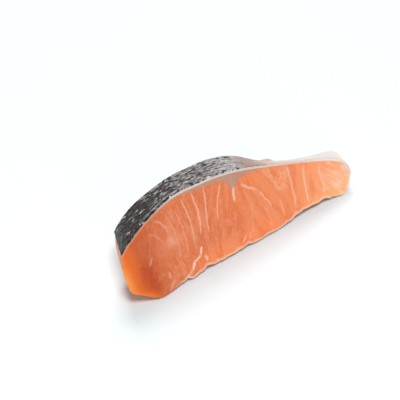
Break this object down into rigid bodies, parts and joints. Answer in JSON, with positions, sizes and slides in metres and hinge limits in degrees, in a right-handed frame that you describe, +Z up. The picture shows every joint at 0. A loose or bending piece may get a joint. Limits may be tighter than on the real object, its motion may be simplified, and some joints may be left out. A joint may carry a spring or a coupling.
{
  "type": "raw salmon fillet",
  "caption": "Slice of raw salmon fillet cut on the bias, orange flesh under a strip of scaly skin, standing on its bone side.",
  "frame": {"origin": "bottom centre of the slice's box, on the floor it stands on", "axes": "+X along the cut from the back of the fish to its belly, +Y from the front cut face to the back one, which the slice leans towards, +Z up"},
  "size_m": [0.1722, 0.0366, 0.0506],
  "materials": {
    "salmon_flesh": "moist raw flesh, soft gloss, pale sheets of fat between the flakes",
    "salmon_skin": "wet scales, charcoal and silver on the back, white on the belly"
  },
  "bodies": {
    "root": {"flesh": "salmon_flesh", "skin": "salmon_skin"}
  },
  "joints": []
}
